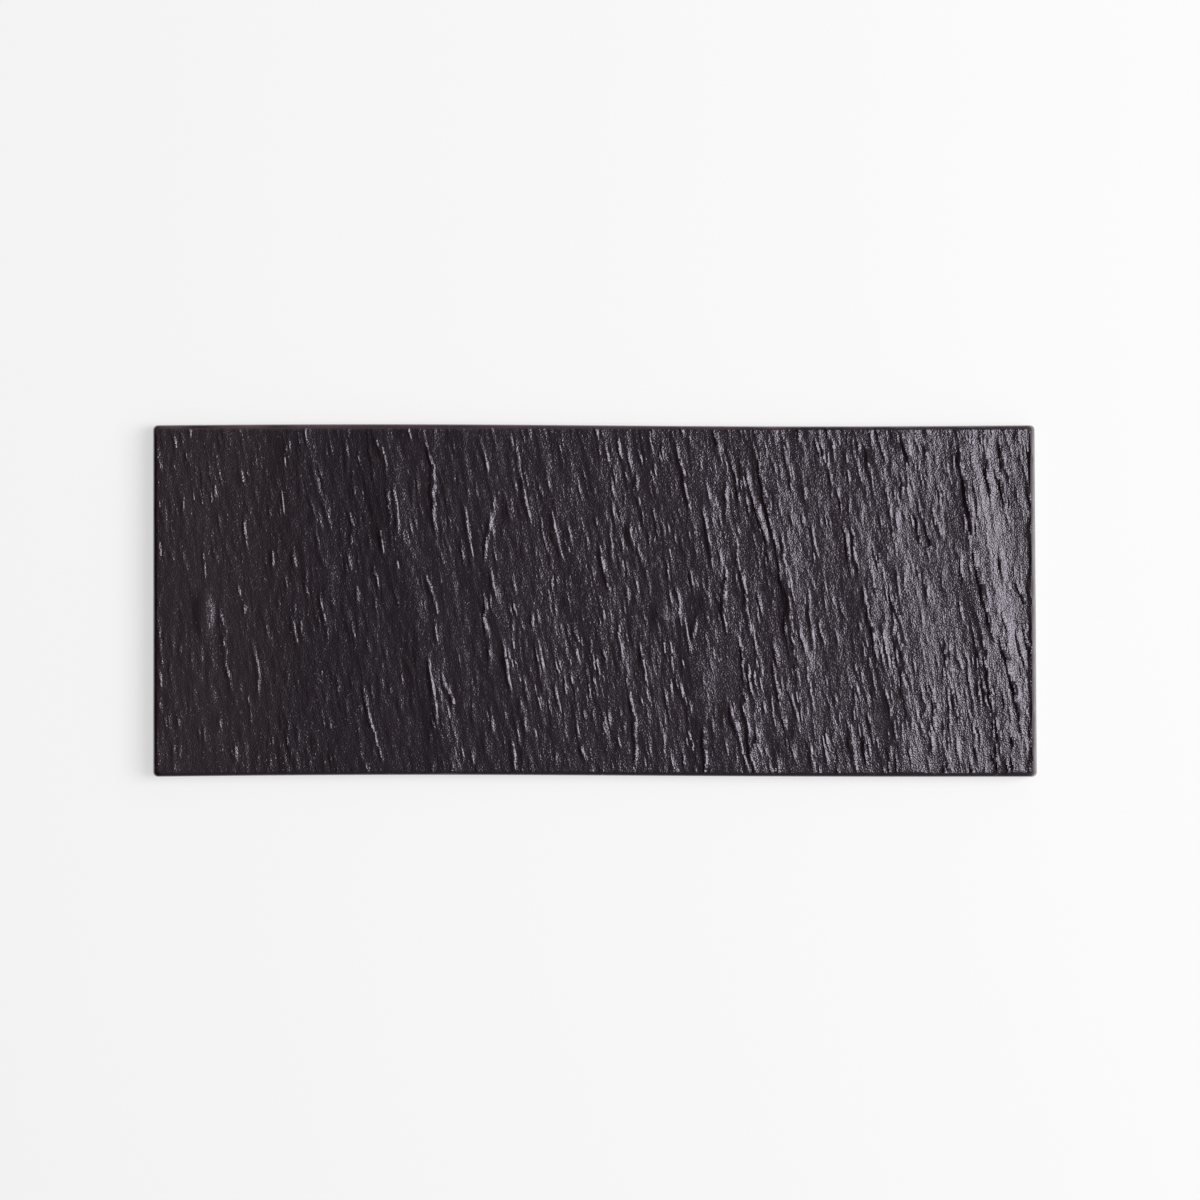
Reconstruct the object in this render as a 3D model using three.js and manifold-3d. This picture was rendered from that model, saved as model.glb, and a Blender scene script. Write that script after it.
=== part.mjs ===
// A slab serving plate of stoneware with a riven, slate-like top, put together as the real one is:
// a pressed and fired body, the glaze coat fused over its top and sides, and four rubber feet,
// each stuck into a round seat in the dry base with a disc of adhesive.
// Millimetres. +X runs along the plate, +Y away from its front edge, +Z up.
// The origin is on the table, under the middle of the plate.

import * as THREE from "three";
import { mergeVertices } from "three/addons/utils/BufferGeometryUtils.js";
import Module from "manifold-3d";

// The slab, measured over its glaze
const PLATE_LENGTH = 300;
const PLATE_WIDTH = 119.8;
const SLAB_THICKNESS = 8;
const CORNER_RADIUS = 1.6;
const BASE_CHAMFER = 0.7;

// The rounding between the top and the sides: its drop, which is also its reach, and its longer reach
// at the right end
const SHOULDER_RADIUS = 1.2;
const RIGHT_SHOULDER_REACH = 2.2;

// How far each side leans in between the glaze line and the top, as it was trimmed
const RIGHT_LEAN = 2.1;
const LEFT_LEAN = 0.8;
const BACK_LEAN = 0.5;
const FRONT_LEAN = 0.4;

// How far firing drew the outline out of square
const FRONT_DRAW = 0.45;
const FRONT_SWAY = 0.28;
const BACK_SWAY = 0.38;
const END_SKEW = 0.8;

// The glaze, and how far above the base it was wiped off
const GLAZE_THICKNESS = 0.4;
const GLAZE_LINE = 1.4;

// The main form of the riven top: the lean of its grain, the height, breadth and length of its swells and
// ledges, which are lower at the left end than at the right, and the slope that the right end bends down to
const GRAIN_ANGLE = THREE.MathUtils.degToRad(11);
const SWELL_HEIGHT = 0.3;
const SWELL_BREADTH = 42;
const SWELL_LENGTH = 95;
const LEFT_LEDGE_HEIGHT = 0.06;
const RIGHT_LEDGE_HEIGHT = 0.14;
const LEDGE_BREADTH = 10;
const LEDGE_LENGTH = 46;
const LEDGE_SHARPNESS = 2.4;
const DIP_START = 105;
const DIP_BEND = 2.5;
const DIP_SLOPE = 0.026;

// The scatter that places swells and ledges: its layers, and odd numbers that part neighbouring points
const SWELL_LAYER = 1;
const LEDGE_LAYER = 2;
const SCATTER_ACROSS = 374761393;
const SCATTER_ALONG = 668265263;
const SCATTER_LAYER = 1274126177;
const SCATTER_MIX = 1103515245;
const SCATTER_SHIFT = 15;

// The highest ridges of the glazed top, which break off steeply on the right: height, then the points of
// their line from back to front
const RIDGES = [
  [0.42, [-58.5, 57], [-54.5, 45.5], [-54, 23]],
  [0.34, [-77.5, -29], [-76.5, -37], [-71.5, -55]],
  [0.34, [-127, -2], [-124.5, -10], [-126, -16]],
  [0.42, [-34, 35], [-36, 23], [-37.5, 13]],
  [0.36, [-31, -14], [-28.5, -31]],
  [0.34, [-27, 54.5], [-22, 25]],
  [0.36, [11, -27], [13.5, -40], [13.5, -57]],
  [0.34, [27.5, 55.5], [31.5, 31]],
  [0.4, [37.5, 28], [40, 10]],
  [0.4, [44, 11], [43.5, -3], [44.5, -12]],
  [0.42, [50, -34], [53.5, -54]],
  [0.5, [53.5, 52.5], [57.5, 37], [61, 17]],
  [0.46, [62.5, 25], [65.5, 1], [67.5, -20]],
  [0.46, [86.5, 25], [89, 9]],
  [0.46, [90.5, 5], [94, -13]],
  [0.44, [103.5, 56.5], [106.5, 45.5]],
  [0.46, [102, -11], [107, -43]],
  [0.44, [123.5, 46.5], [125.5, 34], [127, 22]],
  [0.4, [136, 56.5], [140, 39.5]],
];

// The highest scarps, which break off steeply on the left, given in the same way
const SCARPS = [
  [0.4, [127, 17], [131, -1], [134.5, -14]],
  [0.4, [136, -11], [142, -33], [144, -45]],
  [0.3, [131, 46], [134.5, 35]],
];

// How far a ridge or a scarp reaches from its line, on its steep side and on its gentle side
const STEEP_BREADTH = 1.6;
const GENTLE_BREADTH = 2.6;

// Two hollows and one knob in the glazed top
const HOLLOWS = [
  { depth: 0.2, x: -30.5, y: 29.5, halfBreadth: 4, halfLength: 8 },
  { depth: 0.2, x: 31.5, y: -2.5, halfBreadth: 5.5, halfLength: 8 },
  { depth: -0.3, x: 24, y: -5, halfBreadth: 4.5, halfLength: 4.5 },
];

// The feet, their seats and the adhesive between
const STANDOFF = 1.2;
const FOOT_DIAMETER = 12;
const FOOT_HEIGHT = 2;
const FOOT_EDGE_RADIUS = 0.5;
const FOOT_INSET = 18;
const SEAT_CLEARANCE = 0.4;
const ADHESIVE_THICKNESS = 0.3;
const ADHESIVE_MARGIN = 0.6;

// How finely the surfaces are divided; the glaze's own surface has several steps for each one of the body
const COLUMNS = 50;
const STRAIGHT_ROWS = 6;
const FINE_STEPS = 3;
const CORNER_STEPS = 3;
const SHOULDER_STEPS = 2;
const ROUND_SEGMENTS = 24;
const FOOT_EDGE_STEPS = 2;
const MERGE_DISTANCE = 1e-4;

const tableHeight = 0;
const baseHeight = STANDOFF;
const topHeight = STANDOFF + SLAB_THICKNESS;
const glazeLineHeight = baseHeight + GLAZE_LINE;
const seatCeiling = FOOT_HEIGHT + ADHESIVE_THICKNESS;

const glazeMaterial = new THREE.MeshStandardMaterial({ color: 0x2e282c, roughness: 0.42, metalness: 0 });
const stonewareMaterial = new THREE.MeshStandardMaterial({ color: 0x6a5248, roughness: 0.9, metalness: 0 });
const footMaterial = new THREE.MeshStandardMaterial({ color: 0x1e1d1e, roughness: 0.8, metalness: 0 });
const adhesiveMaterial = new THREE.MeshStandardMaterial({ color: 0xcfcbc0, roughness: 0.6, metalness: 0 });

const wasm = await Module();
wasm.setup();

// A repeatable scatter of values from -1 to 1 over whole-number lattice points, mixed from each point's place.
function latticeValue(i, j, layer) {
  let bits = Math.imul(i, SCATTER_ACROSS) ^ Math.imul(j, SCATTER_ALONG) ^ Math.imul(layer, SCATTER_LAYER);
  bits = Math.imul(bits ^ (bits >>> SCATTER_SHIFT), SCATTER_MIX);
  return ((bits ^ (bits >>> SCATTER_SHIFT)) >>> 0) / 2 ** 31 - 1;
}

// Smooth noise: lattice values blended by a quintic ease between neighbours.
function smoothNoise(x, y, layer) {
  const [i, j] = [Math.floor(x), Math.floor(y)];
  const s = THREE.MathUtils.smootherstep(x, i, i + 1);
  const t = THREE.MathUtils.smootherstep(y, j, j + 1);
  const near = THREE.MathUtils.lerp(latticeValue(i, j, layer), latticeValue(i + 1, j, layer), s);
  const far = THREE.MathUtils.lerp(latticeValue(i, j + 1, layer), latticeValue(i + 1, j + 1, layer), s);
  return THREE.MathUtils.lerp(near, far, t);
}

// Height of the top's main form over its mean plane: long swells, and ledges split flat on top with steep
// flanks, both drawn out along the grain, less the dip of the right end.
function mainForm(x, y) {
  const across = x * Math.cos(GRAIN_ANGLE) + y * Math.sin(GRAIN_ANGLE);
  const along = y * Math.cos(GRAIN_ANGLE) - x * Math.sin(GRAIN_ANGLE);
  const swell = smoothNoise(across / SWELL_BREADTH, along / SWELL_LENGTH, SWELL_LAYER);
  const ledge = smoothNoise(across / LEDGE_BREADTH, along / LEDGE_LENGTH, LEDGE_LAYER);
  const ledgeHeight = THREE.MathUtils.lerp(LEFT_LEDGE_HEIGHT, RIGHT_LEDGE_HEIGHT, 0.5 + x / PLATE_LENGTH);
  const dip = DIP_SLOPE * DIP_BEND * Math.log1p(Math.exp((across - DIP_START) / DIP_BEND));
  return SWELL_HEIGHT * swell + ledgeHeight * Math.tanh(LEDGE_SHARPNESS * ledge) - dip;
}

// Height of a ridge or scarp at a place: whole on its line, eased away within a breadth on either side,
// and tapered to both ends by the root of a half sine.
function ridgeHeight(x, y, [rise, ...line], rightBreadth, leftBreadth) {
  const back = line[0][1];
  const front = line.at(-1)[1];
  if (y >= back || y <= front) return 0;
  const next = line.findIndex((point) => point[1] <= y);
  const [[x0, y0], [x1, y1]] = [line[next - 1], line[next]];
  const offset = x - THREE.MathUtils.mapLinear(y, y0, y1, x0, x1);
  const breadth = offset > 0 ? rightBreadth : leftBreadth;
  const taper = Math.sqrt(Math.sin((Math.PI * (y - front)) / (back - front)));
  return rise * taper * (1 - THREE.MathUtils.smootherstep(Math.abs(offset), 0, breadth));
}

// Depth of a hollow at a place: an eased bowl over an ellipse.
function hollowDepth(x, y, hollow) {
  const reach = Math.hypot((x - hollow.x) / hollow.halfBreadth, (y - hollow.y) / hollow.halfLength);
  return hollow.depth * (1 - THREE.MathUtils.smootherstep(reach, 0, 1));
}

// Height of the glazed top over its mean plane: the main form with its ridges, scarps and hollows.
function glazedForm(x, y) {
  let height = mainForm(x, y);
  for (const ridge of RIDGES) height += ridgeHeight(x, y, ridge, STEEP_BREADTH, GENTLE_BREADTH);
  for (const scarp of SCARPS) height += ridgeHeight(x, y, scarp, GENTLE_BREADTH, STEEP_BREADTH);
  for (const hollow of HOLLOWS) height -= hollowDepth(x, y, hollow);
  return height;
}

// The steps that the slab is divided into. Columns run from -1 at the left to 1 at the right. Rows go round
// the front corners, along the ends and round the back corners, and each has its share of the straight end
// and its turn on a corner's arc. The coarse steps are some of the fine ones.
const cornerTurns = Array.from({ length: CORNER_STEPS }, (_, k) => ((k + 1) / CORNER_STEPS) * (Math.PI / 2));
const fineColumns = COLUMNS * FINE_STEPS;
const fineRows = STRAIGHT_ROWS * FINE_STEPS;
const fine = {
  columns: Array.from({ length: fineColumns + 1 }, (_, k) => (2 * k) / fineColumns - 1),
  rows: [
    ...cornerTurns.toReversed().map((turn) => ({ share: 0, turn: -turn })),
    ...Array.from({ length: fineRows + 1 }, (_, k) => ({ share: k / fineRows, turn: 0 })),
    ...cornerTurns.map((turn) => ({ share: 1, turn })),
  ],
};
const coarse = {
  columns: fine.columns.filter((_, k) => k % FINE_STEPS === 0),
  rows: fine.rows.filter((row, k) => row.turn !== 0 || (k - CORNER_STEPS) % FINE_STEPS === 0),
};

// How far up a side a height is: 0 at the glaze line and below, 1 at the top.
function sideShare(height) {
  return THREE.MathUtils.clamp((height - glazeLineHeight) / (topHeight - glazeLineHeight), 0, 1);
}

// The fired outline: the front edge is drawn in at mid-length, both long edges sway from left to right,
// and the right end is out of square.
function fireWarp(x, y) {
  const bow = 1 - ((2 * x) / PLATE_LENGTH) ** 2;
  const sway = Math.sin((2 * Math.PI * x) / PLATE_LENGTH);
  const backShare = 0.5 + y / PLATE_WIDTH;
  const rightShare = 0.5 + x / PLATE_LENGTH;
  const frontShift = FRONT_DRAW * bow - FRONT_SWAY * sway;
  const backShift = -BACK_SWAY * (1 + sway);
  return {
    x: x - END_SKEW * backShare * rightShare,
    y: y + THREE.MathUtils.lerp(frontShift, backShift, backShare),
  };
}

// A point of the slab: a column in a row, on the rounded rectangle that the sides leave at that height, drawn
// in by a depth under the glaze's surface and by a share of the shoulder's reach, and lifted by the top's form.
// Columns follow the grain in the middle of the plate and stand square at its ends.
function slabPoint({ column, row }, height, depth, shoulderShare, form) {
  const share = sideShare(height);
  const inset = depth + SHOULDER_RADIUS * shoulderShare;
  const left = -PLATE_LENGTH / 2 + LEFT_LEAN * share + inset;
  const right = PLATE_LENGTH / 2 - RIGHT_LEAN * share - depth - RIGHT_SHOULDER_REACH * shoulderShare;
  const front = -PLATE_WIDTH / 2 + FRONT_LEAN * share + inset;
  const back = PLATE_WIDTH / 2 - BACK_LEAN * share - inset;
  const straight = THREE.MathUtils.lerp(front + CORNER_RADIUS, back - CORNER_RADIUS, row.share);
  const y = straight + CORNER_RADIUS * Math.sin(row.turn);
  const half = (right - left) / 2 - CORNER_RADIUS * (1 - Math.cos(row.turn));
  const grainShift = (-Math.tan(GRAIN_ANGLE) * y) / half;
  const x = (left + right) / 2 + half * (column + grainShift * (1 - column * column));
  const fired = fireWarp(x, y);
  return new THREE.Vector3(fired.x, fired.y, height + share * form(fired.x, fired.y));
}

// What lies round the edge of a grid, anticlockwise from its front left corner.
function rim(grid) {
  const [first, last] = [grid[0], grid.at(-1)];
  const inner = grid.slice(1, -1);
  return [
    ...first,
    ...inner.map((row) => row.at(-1)),
    ...last.toReversed(),
    ...inner.map((row) => row[0]).toReversed(),
  ];
}

function gridPlaces({ columns, rows }) {
  return rows.map((row) => columns.map((column) => ({ column, row })));
}

// Where each corner of the coarse ring comes on the fine ring.
const finePlaces = rim(gridPlaces(fine));
const coarseMarks = rim(gridPlaces(coarse)).map(({ column, row }) =>
  finePlaces.findIndex((place) => place.column === column && place.row === row),
);

// A closed surface gathered from sheets of points.
class Skin {
  constructor() {
    this.points = [];
    this.faces = [];
  }

  add(points) {
    return points.map((point) => this.points.push(point) - 1);
  }

  // A four-sided face, always split from its first corner, so that skins which meet share their creases.
  quad(a, b, c, d, turnedOver) {
    this.faces.push(...(turnedOver ? [a, c, b, a, d, c] : [a, b, c, a, c, d]));
  }

  // Joins two rings that run anticlockwise seen from above, facing out, or in where it is turned over.
  band(lower, upper, turnedOver) {
    lower.forEach((id, k) => {
      const next = (k + 1) % lower.length;
      this.quad(id, lower[next], upper[next], upper[k], turnedOver);
    });
  }

  // Joins the fine ring to the coarse ring inside it, facing down: each fine step goes to the coarse corner
  // that is nearer, and one face between them takes the coarse step.
  underside(fineRing, coarseRing) {
    coarseRing.forEach((corner, k) => {
      const nextCorner = coarseRing[(k + 1) % coarseRing.length];
      const start = coarseMarks[k];
      const end = coarseMarks[k + 1] ?? fineRing.length;
      const middle = Math.ceil((start + end) / 2);
      for (let step = start; step < end; step++) {
        const nextFine = fineRing[(step + 1) % fineRing.length];
        this.faces.push(nextFine, fineRing[step], step < middle ? corner : nextCorner);
      }
      this.faces.push(corner, nextCorner, fineRing[middle % fineRing.length]);
    });
  }

  // Fills a grid of rows, facing up, or down where it is turned over.
  sheet(grid, turnedOver) {
    for (let r = 0; r + 1 < grid.length; r++) {
      for (let c = 0; c + 1 < grid[r].length; c++) {
        this.quad(grid[r][c], grid[r][c + 1], grid[r + 1][c + 1], grid[r + 1][c], turnedOver);
      }
    }
  }

  // Closes a flat ring that runs anticlockwise seen from above, with a face that looks down.
  floor(ring) {
    const contour = ring.map((id) => new THREE.Vector2(this.points[id].x, this.points[id].y));
    THREE.ShapeUtils.triangulateShape(contour, []).forEach(([a, b, c]) => {
      this.faces.push(ring[a], ring[c], ring[b]);
    });
  }

  geometry() {
    const made = new THREE.BufferGeometry().setFromPoints(this.points);
    return made.setIndex(this.faces);
  }
}

// The slab's top and shoulder, sunk by a depth under the glaze's own surface, with a ring at the glaze line.
// Gives the grid of the top and the rings from the glaze line up to it.
function addUpperSkin(skin, depth, steps, form) {
  const crown = topHeight - depth;
  const places = gridPlaces(steps);
  const ringAt = (height, shoulderShare) =>
    skin.add(rim(places).map((place) => slabPoint(place, height, depth, shoulderShare, form)));
  const grid = places.map((row) => skin.add(row.map((place) => slabPoint(place, crown, depth, 1, form))));
  const shoulder = Array.from({ length: SHOULDER_STEPS }, (_, k) => {
    const turn = ((k + 1) / SHOULDER_STEPS) * (Math.PI / 2);
    return ringAt(crown - SHOULDER_RADIUS * (1 - Math.cos(turn)), 1 - Math.sin(turn));
  });
  return { grid, rings: [ringAt(glazeLineHeight, 0), ...shoulder.toReversed(), rim(grid)] };
}

// The glaze: a fine surface outside, and inside the surface that it shares with the body.
function makeGlazeCoat() {
  const skin = new Skin();
  const outer = addUpperSkin(skin, 0, fine, glazedForm);
  const inner = addUpperSkin(skin, GLAZE_THICKNESS, coarse, mainForm);
  skin.sheet(outer.grid, false);
  skin.sheet(inner.grid, true);
  for (let k = 0; k + 1 < outer.rings.length; k++) {
    skin.band(outer.rings[k], outer.rings[k + 1], false);
    skin.band(inner.rings[k], inner.rings[k + 1], true);
  }
  skin.underside(outer.rings[0], inner.rings[0]);
  return new THREE.Mesh(skin.geometry(), glazeMaterial);
}

// A closed geometry as a solid that can be cut.
function solidOf(geometry) {
  const bare = geometry.clone();
  bare.deleteAttribute("normal");
  bare.deleteAttribute("uv");
  const merged = mergeVertices(bare, MERGE_DISTANCE);
  const triVerts = new Uint32Array(merged.index.array);
  const vertProperties = merged.attributes.position.array;
  return new wasm.Manifold(new wasm.Mesh({ numProp: 3, vertProperties, triVerts }));
}

function geometryOf(solid) {
  const { vertProperties, triVerts } = solid.getMesh();
  const made = new THREE.BufferGeometry();
  made.setAttribute("position", new THREE.BufferAttribute(vertProperties, 3));
  return made.setIndex(new THREE.BufferAttribute(triVerts, 1));
}

// A round bar that stands on the given height at a foot's place.
function uprightBar(radius, bottom, top, place) {
  const bar = new THREE.CylinderGeometry(radius, radius, top - bottom, ROUND_SEGMENTS);
  return bar.rotateX(Math.PI / 2).translate(place.x, place.y, (bottom + top) / 2);
}

const footPlaces = [-1, 1].flatMap((sideY) =>
  [-1, 1].map((sideX) => ({
    name: `${sideY < 0 ? "front" : "back"}_${sideX < 0 ? "left" : "right"}`,
    x: sideX * (PLATE_LENGTH / 2 - FOOT_INSET),
    y: sideY * (PLATE_WIDTH / 2 - FOOT_INSET),
  })),
);

function makePlateBody() {
  const skin = new Skin();
  const upper = addUpperSkin(skin, GLAZE_THICKNESS, coarse, mainForm);
  const lowerRing = (height, depth) =>
    skin.add(rim(gridPlaces(coarse)).map((place) => slabPoint(place, height, depth, 0, mainForm)));
  const sideEdge = lowerRing(baseHeight + BASE_CHAMFER, GLAZE_THICKNESS);
  const baseEdge = lowerRing(baseHeight, GLAZE_THICKNESS + BASE_CHAMFER);
  const rings = [baseEdge, sideEdge, ...upper.rings];
  skin.sheet(upper.grid, false);
  for (let k = 0; k + 1 < rings.length; k++) skin.band(rings[k], rings[k + 1], false);
  skin.floor(baseEdge);
  let body = solidOf(skin.geometry());
  for (const place of footPlaces) {
    const seatRadius = FOOT_DIAMETER / 2 + SEAT_CLEARANCE;
    body = body.subtract(solidOf(uprightBar(seatRadius, tableHeight, seatCeiling, place)));
  }
  return new THREE.Mesh(geometryOf(body), stonewareMaterial);
}

// A foot is a turned disc with its lower edge rounded, flat where it stands.
function makeFoot(place) {
  const radius = FOOT_DIAMETER / 2;
  const profile = new THREE.Path()
    .moveTo(0, 0)
    .lineTo(radius - FOOT_EDGE_RADIUS, 0)
    .absarc(radius - FOOT_EDGE_RADIUS, FOOT_EDGE_RADIUS, FOOT_EDGE_RADIUS, -Math.PI / 2, 0)
    .lineTo(radius, FOOT_HEIGHT)
    .lineTo(0, FOOT_HEIGHT);
  const foot = new THREE.LatheGeometry(profile.getPoints(FOOT_EDGE_STEPS), ROUND_SEGMENTS);
  const mesh = new THREE.Mesh(foot.rotateX(Math.PI / 2), footMaterial);
  mesh.position.set(place.x, place.y, tableHeight);
  return mesh;
}

function makeAdhesiveDisc(place) {
  const radius = FOOT_DIAMETER / 2 - ADHESIVE_MARGIN;
  return new THREE.Mesh(uprightBar(radius, FOOT_HEIGHT, seatCeiling, place), adhesiveMaterial);
}

function named(mesh, name) {
  mesh.name = name;
  return mesh;
}

const plate = new THREE.Group();
plate.add(named(makePlateBody(), "plate_body"));
plate.add(named(makeGlazeCoat(), "glaze_coat"));
for (const place of footPlaces) {
  plate.add(named(makeFoot(place), `rubber_foot_${place.name}`));
  plate.add(named(makeAdhesiveDisc(place), `adhesive_disc_${place.name}`));
}

export default plate;
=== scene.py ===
"""Looks of a riven stoneware slab plate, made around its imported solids.

Sizes are written in millimetres and become metres once, where a mesh is made.
+X runs along the plate, +Y away from its front edge, +Z up, and the table is at z = 0.
"""

import math
from types import SimpleNamespace

import bpy
import numpy as np
from bpy.props import FloatProperty, FloatVectorProperty, PointerProperty
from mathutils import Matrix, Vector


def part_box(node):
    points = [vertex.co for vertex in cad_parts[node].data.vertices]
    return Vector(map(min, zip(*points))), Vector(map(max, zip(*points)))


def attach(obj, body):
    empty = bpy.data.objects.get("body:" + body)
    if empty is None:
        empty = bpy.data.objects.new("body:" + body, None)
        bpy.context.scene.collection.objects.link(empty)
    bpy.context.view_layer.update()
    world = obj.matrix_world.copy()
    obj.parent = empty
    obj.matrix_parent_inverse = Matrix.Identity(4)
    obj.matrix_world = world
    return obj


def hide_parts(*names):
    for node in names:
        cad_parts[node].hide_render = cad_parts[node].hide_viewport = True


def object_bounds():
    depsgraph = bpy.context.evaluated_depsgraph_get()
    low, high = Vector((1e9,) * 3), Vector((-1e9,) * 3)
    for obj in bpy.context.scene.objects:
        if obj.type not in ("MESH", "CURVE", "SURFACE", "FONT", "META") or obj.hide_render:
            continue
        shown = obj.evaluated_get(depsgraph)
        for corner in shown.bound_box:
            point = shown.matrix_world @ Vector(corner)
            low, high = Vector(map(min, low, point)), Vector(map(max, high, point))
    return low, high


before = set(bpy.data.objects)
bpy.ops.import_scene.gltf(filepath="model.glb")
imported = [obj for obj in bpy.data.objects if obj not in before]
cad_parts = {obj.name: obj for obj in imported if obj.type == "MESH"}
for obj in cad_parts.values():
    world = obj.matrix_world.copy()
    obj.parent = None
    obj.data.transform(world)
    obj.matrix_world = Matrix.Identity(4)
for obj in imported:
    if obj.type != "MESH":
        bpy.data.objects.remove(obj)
CAD_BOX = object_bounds()

bl_info = {
    "name": "Riven Stoneware Plate",
    "version": (1, 0, 0),
    "blender": (4, 5, 0),
    "location": "3D View > Sidebar > Plate",
    "description": "Glaze, bare stoneware, feet and adhesive of a slab plate, with a studio to show it in",
    "category": "Add Mesh",
}

MM = 0.001
BODY = "root"

# Heights that the solids give, in millimetres above the table
BASE_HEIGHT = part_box("plate_body")[0].z / MM
GLAZE_LINE_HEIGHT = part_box("glaze_coat")[0].z / MM
HIGHEST_POINT = CAD_BOX[1].z / MM

# How finely shapes are divided: coarse steps for the body and the coat's inside, and fine ones within them
# for the coat's outside
COARSE_COLUMNS = 64
FINE_PER_COLUMN = 12
COARSE_ROWS = 8
FINE_PER_ROW = 12
CORNER_STEPS = 4
SHOULDER_STEPS = 4
BASE_ROUND_STEPS = 4
ROUND_SEGMENTS = 64
QUARTER_POINTS = 7

# Edges stay crisp where faces meet at more than an angle, which is smaller where both ends are this riven
CRISP_ANGLE = math.radians(50)
RIVEN_CRISP_ANGLE = math.radians(12)
RIVEN_FROM = 0.5

# The scatter that places swells, ledges and splinters: odd numbers that part neighbouring lattice points
SCATTER_ACROSS = 374761393
SCATTER_ALONG = 668265263
SCATTER_LAYER = 1274126177
SCATTER_MIX = 1103515245
SCATTER_SHIFT = 15

# Layers of the scatter, one for each thing that it places
SWELL_LAYER = 1
LEDGE_LAYER = 2
PATCH_LAYER = 3
STREAK_LAYER = 4
WAVER_LAYER = 5
RIM_LAYER = 6
RAG_LAYER = 7
BREAK_LAYER = 8
LUMP_LAYER = 9
SPLINTER_LAYER = 10
CHIP_LAYER = 20
HUMP_LAYER = 30
FIBRE_LAYER = 31
LIP_LAYER = 32

# Splinters, and the smaller chips between them: spacing and size in millimetres
SPLINTER = SimpleNamespace(cell_across=4.0, cell_along=11.0, height=0.16, steep=0.4, gentle=1.2)
CHIP = SimpleNamespace(cell_across=2.4, cell_along=3.8, height=0.12, steep=0.4, gentle=0.8)
SPLINTER_RAG = 0.46
SPLINTER_BREAKS = (0.6, 0.95)

# What the scatter varies in each splinter: its place and half length in cells, its share of the height, its
# lean, and how gradually it fades out where few are wanted
SPLINTER_STRAY = 0.4
SPLINTER_HALF_LENGTH = (0.6, 0.35)
SPLINTER_RISE = (0.65, 0.35)
SPLINTER_LEAN = math.tan(math.radians(5))
SPLINTER_FADE = 0.2

# How narrow splinters and ridges are at their tips, as a share of their breadth
SPLINTER_TIP = 0.3
RIDGE_TIP = 0.35

# How the lines of ridges and splinters waver, ravel and break, in millimetres
WAVER = 0.35
WAVER_LENGTH = 7.0
RAG_LENGTH = 2.4
BREAK_BREADTH = 1.6
BREAK_LENGTH = 3.0

# Grading along the plate, from its calm left end to its broken right end: how thickly splinters lie, how
# strong they are and how many face left, and how strong ridges and the glaze's grain are
ALONG_PLATE = (-150, -125, -95, -50, 20, 80, 150)
SPLINTER_SHARE = (0.90, 0.80, 0.58, 0.72, 0.76, 0.70, 0.70)
SPLINTER_STRENGTH = (1.0, 0.8, 0.75, 0.85, 1.05, 1.45, 2.7)
LEFT_FACING_SHARE = (0.1, 0.1, 0.1, 0.2, 0.3, 0.4, 0.58)
RIDGE_STRENGTH = (0.9, 0.9, 0.85, 0.9, 1.05, 1.25, 1.4)
GRAIN_STRENGTH = (1.0, 0.95, 0.9, 0.85, 0.83, 0.85, 1.0)

# Patches in which splinters lie more or less thickly: breadth and length in millimetres, and contrast
PATCH_BREADTH = 18.0
PATCH_LENGTH = 30.0
PATCH_CONTRAST = 0.5

# Streaks and fibres along the grain, and lumps and humps between ridges, in millimetres
STREAK_BREADTH = 1.7
STREAK_LENGTH = 7.0
FIBRE_BREADTH = 1.0
FIBRE_LENGTH = 3.5
LUMP_LENGTH = 2.2
HUMP_LENGTH = 4.5

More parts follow.
